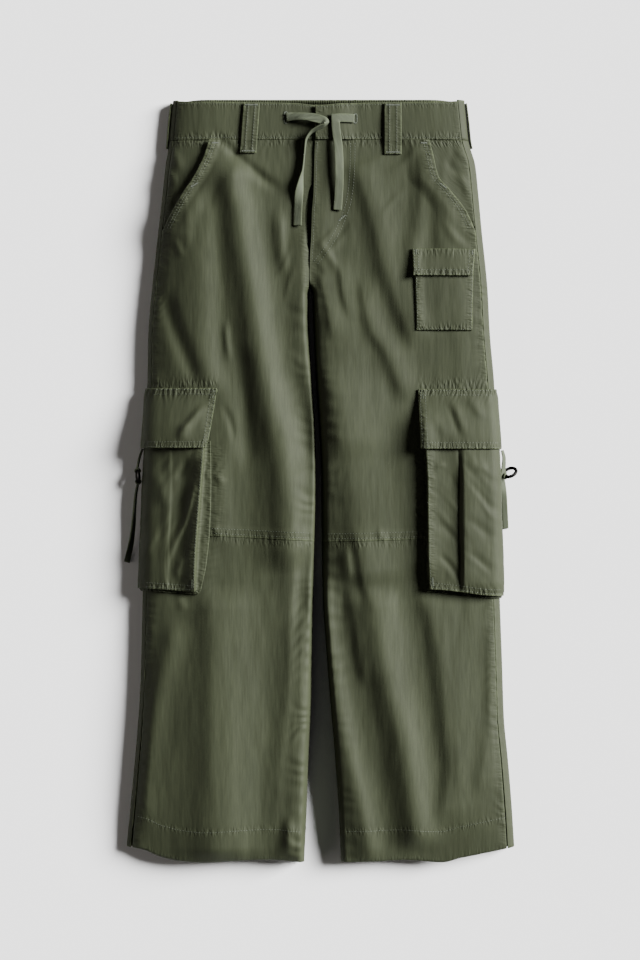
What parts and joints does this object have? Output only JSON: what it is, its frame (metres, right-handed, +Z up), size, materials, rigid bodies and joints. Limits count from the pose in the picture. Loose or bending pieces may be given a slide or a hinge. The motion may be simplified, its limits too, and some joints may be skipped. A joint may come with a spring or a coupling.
{
  "type": "cargo trousers laid flat",
  "caption": "Wide-leg cargo trousers laid flat, with an elastic back waist, drawstring, slant pockets, two pleated cargo pockets with flaps and a small hip pocket.",
  "frame": {"origin": "middle of the laid-out trousers' outline without their tapes, on the surface they lie on", "axes": "+Z up from the surface, +Y from the hems towards the waist, +X towards the wearer's left"},
  "size_m": [0.434, 0.838, 0.046],
  "materials": {
    "olive_cotton": "plain-woven olive cotton, washed",
    "olive_tape": "woven cotton tape, lighter olive",
    "ring_metal": "dark nickel-plated steel wire"
  },
  "bodies": {
    "root": {"back_left": "olive_cotton", "back_right": "olive_cotton", "front_left_lower": "olive_cotton", "front_left_upper": "olive_cotton", "front_right_lower": "olive_cotton", "front_right_upper": "olive_cotton", "hip_facing_left": "olive_cotton", "hip_facing_right": "olive_cotton", "fly_shield": "olive_cotton", "waistband_front_left": "olive_cotton", "waistband_front_right": "olive_cotton", "waistband_back": "olive_cotton", "belt_loop_front_left": "olive_cotton", "belt_loop_front_right": "olive_cotton", "belt_loop_side_left": "olive_cotton", "belt_loop_side_right": "olive_cotton", "cargo_pocket_left": "olive_cotton", "cargo_pocket_right": "olive_cotton", "cargo_gusset_left": "olive_cotton", "cargo_gusset_right": "olive_cotton", "cargo_flap_left": "olive_cotton", "cargo_flap_right": "olive_cotton", "coin_pocket": "olive_cotton", "coin_flap": "olive_cotton", "drawstring_left": "olive_tape", "drawstring_right": "olive_tape", "pocket_tab_left": "olive_tape", "pocket_tab_right": "olive_tape", "pocket_tape_left": "olive_tape", "pocket_tape_right": "olive_tape", "pocket_ring_left": "ring_metal", "pocket_ring_right": "ring_metal"}
  },
  "joints": []
}
